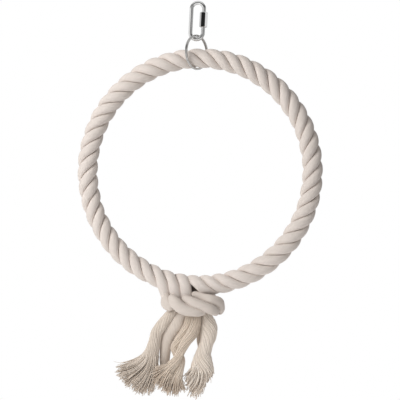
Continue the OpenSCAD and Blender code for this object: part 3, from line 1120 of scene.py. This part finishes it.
    def _swept(self, start: Points, way: Points, tip: Points, rng: np.random.Generator) -> Points:
        """Curved path of one yarn through the brush.

        Args:
            start: Where it leaves the bundle.
            way: Direction in which it leaves.
            tip: Where it ends.
            rng: Source of its unevenness.

        Returns:
            Points from start to tip.
        """
        span = float(np.linalg.norm(tip - start))
        bend = start + way * span * rng.uniform(*self.bend_at)
        t = np.linspace(0.0, 1.0, self.sweep_steps)[:, None]
        path = (1 - t) ** 2 * start + 2 * t * (1 - t) * bend + t ** 2 * tip
        wave = np.sin(t * rng.uniform(*self.waves) + rng.uniform(*ANY_PHASE)) * t * self.curl
        sway = [rng.uniform(-self.sway, self.sway) for _ in range(2)]
        return path + wave * np.array([*sway, 0.0])

    def _opened(self, weave: Weave, brush: Points, base: float, rng: np.random.Generator) -> None:
        """Opens a yarn into the fine threads of the brush.

        Args:
            weave: The mesh that is gathered.
            brush: Path of the yarn through the brush.
            base: Tone of the yarn.
            rng: Source of its unevenness.
        """
        t = np.linspace(0.0, 1.0, len(brush))[:, None]
        for _ in range(self.threads):
            apart = t ** 1.2 * rng.normal(0.0, self.spread, 3)
            path = (brush + rng.normal(0.0, self.loose, 3) + apart
                    + t ** 3 * rng.normal(0.0, self.flare, 3))
            path = path[: len(path) - int(rng.integers(0, 2))]
            change = rng.uniform(-self.tip_change, self.tip_change)
            tip = np.clip(base - self.tip_fade + change, 0.0, 1.0)
            radius = np.linspace(*self.thread_taper, len(path)) * self.yarn_r
            weave.tube(path, radius, self.thread_sides, np.linspace(base, tip, len(path)),
                       start=float(rng.uniform(*PATTERN_START)))


@dataclass
class Tail:
    """One strand end below the knot: its core as a cord, and the yarns that open round it.

    Attributes:
        number: Its number, from the left.
        diameter: Its diameter in millimetres, which is not used.
        core: Points of its core: across, depth, height, half width and half depth.
        plies: Its bundles of yarns.
        yarn_relief: Height of the relief of the core's yarns, which have four points each.
        yarn_twist: Angle that they run round the core for each millimetre along it.
        tone: Middle, swing and least value of the core's tone, its painted light and shade.
        girth: Distance round the core in its pattern.
        spacing: Distance between the rings of the core.
        sides: Points in each ring.
    """

    number: int
    diameter: float
    core: Keys
    plies: tuple[Ply, ...]
    yarn_relief: float = 0.0
    yarn_twist: float = 0.12
    tone: tuple[float, float, float] = (0.65, 0.4, 0.2)
    girth: float = 30.0
    spacing: float = 1.2
    sides: int = 48

    def build(self, origin: Points, strand_finish: bpy.types.Material,
              yarn_finish: bpy.types.Material) -> None:
        """Args:
            origin: The middle of the knot.
            strand_finish: Material of the strand's core.
            yarn_finish: Material of the opened yarns.
        """
        q = smooth_route(np.array(self.core, dtype=float), self.spacing)
        path = q[:, :3] + origin
        _, wide, deep = route_frame(q)
        at = lengths_along(path)
        column = np.arange(self.sides)
        turn = math.tau * column / self.sides - self.yarn_twist * at[:, None]
        relief = self.yarn_relief * np.cos(math.tau * column / 4)[None, :]
        rings = oval_rings(path, deep, wide, q[:, 4:5] + relief, q[:, 3:4] + relief, turn)
        weave = Weave()
        # Painted light and shade round the core; its light side winds round with the yarns.
        weave.loft(rings, at, self.girth, painted_facing_light(turn, *self.tone))
        core = settle(weave.piece(f"tail_strand_{self.number}"), Body.ROPE, "tail_cotton",
                      strand_finish, f"tail_{self.number}")
        yarns = Weave()
        for ply in self.plies:
            ply.weave_into(yarns, origin)
        opened = settle(yarns.piece(f"tail_yarns_{self.number}"), Body.ROPE, "tail_cotton",
                        yarn_finish)
        LOG.info("tail %d hangs %.0f mm", self.number, at[-1])


def first_tail() -> Tail:
    """The tail on the left, which opens into a broad fan.

    Returns:
        The tail, ready to build.
    """
    fan = Ply(
        route=((-18.8, -1.4, -4.5, 3.6, 3.8), (-25.4, -1.8, -13, 5.4, 4.8),
               (-31.6, -2, -21, 6, 5.2), (-37.8, -2, -30, 6.2, 5.4), (-40.2, -2, -41, 6.6, 5.6),
               (-43.2, -2, -51, 8, 6)),
        brush=((-78, -63), (-78, -70), (-73, -77), (-66, -84), (-56, -90), (-46, -91), (-40, -86)),
        strays=(((-58, -4, -57), (-66, -4, -60), (-74, -4, -60.4), (-81.5, -4, -58.8)),),
        yarns=150, twist=-0.075, seed=101, threads=4, spread=0.9, curl=0.8)
    core = ((-18.8, -1.4, -4.5, 3, 3.2), (-25.4, -1.8, -13, 4, 4.1), (-32, -2, -21, 4.5, 4.3),
            (-38.4, -2, -30, 4.6, 4.5), (-40.8, -2, -41, 4.9, 4.6), (-44.2, -2, -51, 5.4, 4.4),
            (-49.6, -2, -61, 7.4, 3), (-54.6, -2, -71, 8.6, 2.2), (-57.4, -2, -79, 6, 1.2))
    return Tail(1, 11.0, core, (fan,))


def second_tail() -> Tail:
    """The tail behind, which stays closed almost to its end.

    Returns:
        The tail, ready to build.
    """
    end = Ply(
        route=((-30.2, 4.6, -54, 4.6, 4.4), (-31, 5.4, -61, 4.6, 4.6), (-31.6, 6, -68, 5, 4.8)),
        brush=((-38, -78), (-35, -83), (-30, -84), (-26, -80)),
        yarns=44, twist=-0.05, seed=102)
    core = ((-10, 0, -7, 4.2, 4.2), (-14, 0, -13, 5.6, 5), (-18.6, 1, -21, 7.5, 5.4),
            (-25, 2, -30, 7.1, 5.4), (-28.8, 3, -40, 6.6, 5.2), (-30.2, 4, -50, 5.5, 5),
            (-31, 5, -59, 5, 4.6), (-31.6, 6, -67, 3.6, 3.6), (-32, 6, -76, 1.4, 1.4))
    return Tail(2, 12.0, core, (end,), yarn_relief=0.05)


def third_tail() -> Tail:
    """The tail in the middle, whose two bundles part and cross.

    Returns:
        The tail, ready to build.
    """
    back = Ply(
        route=((-3.4, -1, -8, 4.4, 3.6), (-4.4, -1, -13, 5.2, 4.2), (-5.6, -1, -21, 5.4, 4.2),
               (-10, -2, -30, 5.4, 3.8), (-15.6, -3, -38, 4.9, 3.4), (-20, -3, -45, 3.9, 3.2),
               (-17, -3, -50, 5, 3.4), (-13.8, -4, -57, 5.4, 4), (-14.4, -5, -65, 5.2, 4.4),
               (-16.4, -5, -71, 6, 4.6)),
        brush=((-32, -87), (-23, -91), (-16, -91), (-7, -85)),
        yarns=78, twist=0.04, seed=104)
    front = Ply(
        route=((2.6, -4, -8, 4.4, 3.4), (2.9, -5, -13, 5.2, 4), (1.9, -6, -21, 5.8, 4),
               (-1.2, -7, -30, 6.2, 4), (-7, -7.6, -38, 5.4, 3.8), (-11.6, -8, -46, 4.8, 3.6),
               (-15.3, -9, -54, 4.8, 3.6), (-21.9, -9, -62, 5.6, 3.8)),
        brush=((-37, -63), (-41.4, -71), (-39.4, -81), (-33.4, -86), (-25.4, -82)),
        strays=(((-24.5, -12, -64), (-21.7, -13, -70), (-19, -13, -76), (-17, -12, -80.5)),),
        yarns=66, twist=0.03, seed=103, brush_depth=4.0)
    core = ((-1, -0.6, -8, 4, 3), (-1.4, -0.6, -13, 5, 3), (-3, -0.6, -21, 5, 3),
            (-7.6, -1, -30, 4.6, 2.6), (-13, -1.6, -38, 4.4, 2.4), (-17.2, -2.4, -46, 3, 2),
            (-16.2, -3, -54, 3.2, 2.2), (-15, -4, -62, 4.4, 2.6), (-16.4, -5, -70, 5, 2.6),
            (-18, -5, -82, 1.2, 1.2))
    return Tail(3, 12.0, core, (back, front))


def fourth_tail() -> Tail:
    """The full tail on the right, with a few loose yarns behind it.

    Returns:
        The tail, ready to build.
    """
    full = Ply(
        route=((11.8, 0, -7.3, 4.8, 4.4), (12.6, 0, -13, 5.8, 5.2), (13.9, 0, -20, 8.5, 5.8),
               (14.8, 0, -26, 9.2, 6.2), (14.1, 0, -33, 8.5, 6.2), (11.5, 0, -42, 7.4, 6),
               (9.3, -1, -50, 8.2, 6), (8.6, -1, -58, 10.8, 6.4), (8, -1, -65, 12.4, 6.4)),
        brush=((-9, -73), (-8.4, -81), (-5, -87), (-5.4, -92), (1, -95), (6.4, -91), (7.4, -85),
               (13, -79), (17.4, -70)),
        yarns=144, twist=-0.08, seed=105)
    loose = Ply(
        route=((6, 2, -7, 2.6, 2.4), (6, 4, -18, 3, 2.4), (5, 5, -28, 3, 2.4),
               (4, 5, -37, 2.8, 2.4), (5.4, 4, -45, 2.4, 2.4)),
        brush=((6, -54), (10, -55)),
        yarns=18, twist=0.05, seed=106, brush_depth=2.0)
    core = ((11.8, 0, -7.3, 3.6, 3.6), (12.6, 0, -13, 4.5, 4.5), (13.7, 0, -20, 7, 5),
            (14.6, 0, -26, 7.7, 5.4), (13.9, 0, -33, 7, 5.4), (11.5, 0, -42, 5.9, 5.2),
            (9.1, -1, -50, 6.4, 5), (8.4, -1, -58, 8, 4.6), (7.8, -1, -66, 8, 3.6),
            (5, -1, -77, 4, 2.4), (3, -1, -86, 1.2, 1.2))
    return Tail(4, 13.0, core, (full, loose))


@dataclass
class HangingMetal:
    """Link, sleeve, split ring and hoop, which keep their CAD shapes and get their finishes.

    Attributes:
        link: Finish of the quick link.
        sleeve: Finish of its gate sleeve.
        split: Finish of the split ring.
        hoop: Finish of the wire in the rope.
    """

    link: PlateFinish = PlateFinish("link_plate", (0.8, 0.795, 0.79), 0.1, 0.18, thread=0.5)
    sleeve: PlateFinish = PlateFinish("sleeve_plate", (0.86, 0.855, 0.85), 0.04, 0.1)
    split: PlateFinish = PlateFinish("split_ring_plate", (0.58, 0.57, 0.56), 0.1, 0.18)
    hoop: PlateFinish = PlateFinish("hoop_wire", (0.42, 0.42, 0.43), 0.3, 0.5)

    def dress(self) -> None:
        """Gives each metal node its material."""
        for node, body, finish in (("quick_link", Body.HANGER, self.link),
                                   ("quick_link_sleeve", Body.SLEEVE, self.sleeve),
                                   ("split_ring", Body.CARRIER, self.split),
                                   ("hoop_core", Body.ROPE, self.hoop)):
            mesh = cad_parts[node].data
            mesh.materials.clear()
            mesh.materials.append(finish.build())
            LOG.info("%s on %s wears %s", node, body.value, finish.name)


@dataclass(frozen=True)
class SoftLight:
    """A square area light that gloss doesn't see.

    Attributes:
        name: Its name.
        place: Where it hangs, in metres.
        size: Length of its sides, in metres.
        power: Its power in watts.
    """

    name: str
    place: tuple[float, float, float]
    size: float
    power: float

    def hang(self, target: Points) -> None:
        """Hangs the light.

        Args:
            target: The point that it faces, in metres.
        """
        data = bpy.data.lights.new(self.name, "AREA")
        data.size = self.size
        data.energy = self.power
        obj = bpy.data.objects.new(self.name, data)
        obj.visible_glossy = False
        obj.location = self.place
        aim = target - np.array(self.place)
        obj.rotation_euler = (math.acos(-aim[2] / np.linalg.norm(aim)), 0.0,
                              math.atan2(aim[0], -aim[1]) + math.pi)
        bpy.context.scene.collection.objects.link(obj)


@dataclass
class Studio:
    """Camera, soft light and a pale floor.

    Attributes:
        azimuth: Degrees that the camera stands to the right of the front.
        view_x: Middle of the picture across, in metres.
        view_z: Middle of the picture in height, in metres.
        view_width: Width that the picture takes in at the object, in metres.
        distance: Distance of the camera, in metres.
        sensor: Width of the camera's sensor, in millimetres.
        clip_end: How far the camera sees, in metres.
        lights: A large key near the left, a weak fill from the right and a light behind.
        target: Where the lights point.
        daylight: Colour of the surroundings as light.
        door: Direction of the dark doorway that gloss sees.
        floor_place: Middle of the floor, well below the tails.
        floor_size: Length of its sides, in metres.
        floor_grey: Its brightness.
        floor_roughness: Its roughness.
        floor_glow: Its own light, which keeps it pale.
    """

    azimuth: float = 8.0
    view_x: float = 0.0019
    view_z: float = -0.1954
    view_width: float = 0.400
    distance: float = 1.5
    sensor: float = 36.0
    clip_end: float = 50.0
    lights: tuple[SoftLight, ...] = (SoftLight("key", (-0.52, -0.6, 0.18), 0.7, 5.9),
                                     SoftLight("fill", (1.2, -1.1, -0.1), 1.0, 0.4),
                                     SoftLight("back", (-0.3, 1.1, 0.5), 1.0, 6.0))
    target: tuple[float, float, float] = (0.0, 0.0, -0.2)
    daylight: Colour = (1.0, 0.985, 0.97)
    door: tuple[float, float, float] = (0.0, -0.9925, 0.122)
    floor_place: tuple[float, float, float] = (0.0, -0.05, -0.47)
    floor_size: float = 1.0
    floor_grey: float = 0.9
    floor_roughness: float = 0.95
    floor_glow: float = 0.3

    def build(self) -> None:
        """Sets up the camera, the light and the floor."""
        self.camera()
        self.world()
        for light in self.lights:
            light.hang(np.array(self.target))
        self.floor()

    def camera(self) -> None:
        """Long lens a little to the right of the front, framed as the photograph is."""
        data = bpy.data.cameras.new("camera")
        data.sensor_width = self.sensor
        data.lens = self.sensor * self.distance / self.view_width
        data.clip_end = self.clip_end
        obj = bpy.data.objects.new("camera", data)
        turn = math.radians(self.azimuth)
        obj.location = (self.view_x + self.distance * math.sin(turn),
                        -self.distance * math.cos(turn), self.view_z)
        obj.rotation_euler = (math.pi / 2, 0.0, turn)
        bpy.context.scene.collection.objects.link(obj)
        bpy.context.scene.camera = obj

    def world(self) -> None:
        """Surroundings that look white, light the object softly and have a studio for gloss."""
        scene = bpy.context.scene
        scene.view_settings.view_transform = "Standard"
        scene.world = bpy.data.worlds.new("studio")
        scene.world.use_nodes = True
        tree = scene.world.node_tree
        tree.nodes.clear()
        g = NodeGraph(tree)
        way = g.add("ShaderNodeTexCoord").outputs["Generated"]
        white = (1.0, 1.0, 1.0, 1.0)
        soft = g.add("ShaderNodeBackground", {"Color": (*self.daylight, 1.0),
                                              "Strength": self._soft_light(g, way)})
        gloss = g.add("ShaderNodeBackground", {"Color": white,
                                               "Strength": self._gloss_light(g, way)})
        seen = g.add("ShaderNodeBackground", {"Color": white, "Strength": 1.0})
        ray = g.add("ShaderNodeLightPath").outputs
        lit = g.add("ShaderNodeMixShader", {0: ray["Is Glossy Ray"], 1: soft.outputs[0],
                                            2: gloss.outputs[0]})
        shown = g.add("ShaderNodeMixShader", {0: ray["Is Camera Ray"], 1: lit.outputs[0],
                                              2: seen.outputs[0]})
        g.add("ShaderNodeOutputWorld", {0: shown.outputs[0]})

    @staticmethod
    def _soft_light(g: NodeGraph, way: Socket) -> Socket:
        """Strength of the soft light.

        Args:
            g: The world's graph.
            way: Direction in which a ray goes.

        Returns:
            Its strength, which grows upwards and to the left.
        """
        x, _, z = g.add("ShaderNodeSeparateXYZ", {0: way}).outputs
        lift = g.ramp(z, start=-0.6, end=0.9, low=0.23, high=0.43)
        side = g.ramp(x, start=-1.0, end=1.0, low=1.25, high=0.7)
        return g.maths("MULTIPLY", lift, side)

    def _gloss_light(self, g: NodeGraph, way: Socket) -> Socket:
        """Strength of what gloss sees.

        Args:
            g: The world's graph.
            way: Direction in which a ray goes.

        Returns:
            Its strength: dark in the doorway and a band above, dim behind and on the right.
        """
        x, y, z = g.add("ShaderNodeSeparateXYZ", {0: way}).outputs
        near = g.add("ShaderNodeVectorMath", {0: way, 1: self.door}, operation="DOT_PRODUCT")
        doorway = g.ramp(near.outputs["Value"], start=0.93, end=0.975, low=1.0, high=0.02)
        rear = g.ramp(y, start=0.35, end=0.85, low=1.0, high=0.3)
        right = g.ramp(x, start=0.1, end=0.8, low=0.0, high=0.7)
        ahead = g.ramp(y, start=0.1, end=0.4, low=1.0, high=0.0)
        dusk = g.maths("SUBTRACT", 1.0, g.maths("MULTIPLY", right, ahead))
        off_band = g.maths("ABSOLUTE", g.maths("SUBTRACT", z, 0.45))
        band = g.ramp(off_band, start=0.1, end=0.25, low=0.25, high=1.0)
        return g.maths("MULTIPLY", g.maths("MULTIPLY", doorway, rear),
                       g.maths("MULTIPLY", dusk, band))

    def floor(self) -> None:
        """Plain pale floor."""
        bpy.ops.object.select_all(action="DESELECT")
        bpy.ops.mesh.primitive_plane_add(size=self.floor_size, location=self.floor_place)
        obj = bpy.context.active_object
        obj.name = "floor"
        material, g = bare_material("floor_paper")
        shader = g.add("ShaderNodeBsdfPrincipled", {
            "Base Color": (self.floor_grey, self.floor_grey, self.floor_grey, 1.0),
            "Roughness": self.floor_roughness, "Emission Color": (1.0, 1.0, 1.0, 1.0),
            "Emission Strength": self.floor_glow})
        g.add("ShaderNodeOutputMaterial", {0: shader.outputs[0]})
        obj.data.materials.append(material)


def tail_finish(name: str, light: Colour, shade: Colour) -> bpy.types.Material:
    """Cotton of opened yarns.

    Args:
        name: The material's name.
        light: Colour of the outer yarns.
        shade: Colour of the inner yarns, which is painted shade.

    Returns:
        The new material.
    """
    return CottonFinish(name, light, shade, across=2.2, along=0.2, streak=0.4, bump=0.3).build()


def main() -> None:
    """Builds the swing's pieces in order, from the camera and cords to the metal."""
    logging.basicConfig(level=logging.INFO, format="%(name)s: %(message)s")
    Studio().build()
    rope = RopeRing()
    strand = CottonFinish("tail_strand_cotton", light=(0.68, 0.6, 0.53), shade=(0.42, 0.33, 0.26),
                          across=1.4, along=0.14, streak=0.36, bump=0.35).build()
    yarn = tail_finish("tail_yarn_cotton", (0.78, 0.7, 0.62), (0.42, 0.33, 0.25))
    # Painted shade: a darker, warmer copy of the yarn cotton for the middle tail.
    warm_shade_yarn = tail_finish("tail_warm_shade_cotton", (0.74, 0.645, 0.55), (0.42, 0.31, 0.22))
    # Painted light: a lighter copy of the yarn cotton that offsets the shade inside the right tail.
    pale = tail_finish("tail_painted_light_cotton", (0.9, 0.82, 0.735), (0.48, 0.38, 0.3))
    for tail, opened in ((first_tail(), yarn), (second_tail(), yarn), (third_tail(), warm_shade_yarn),
                         (fourth_tail(), pale)):
        tail.build(rope.knot, strand, opened)
    rope.build(CottonFinish("rope_cotton", light=(0.74, 0.67, 0.62), shade=(0.46, 0.375, 0.315),
                            across=1.2, along=0.12, streak=0.16, bump=0.22).build())
    Knot(rope).build(CottonFinish("knot_cotton", light=(0.66, 0.59, 0.535), shade=(0.42, 0.35, 0.3),
                                  across=1.2, along=0.12, streak=0.18, bump=0.24).build())
    HangingMetal().dress()


if __name__ == "__main__":
    main()
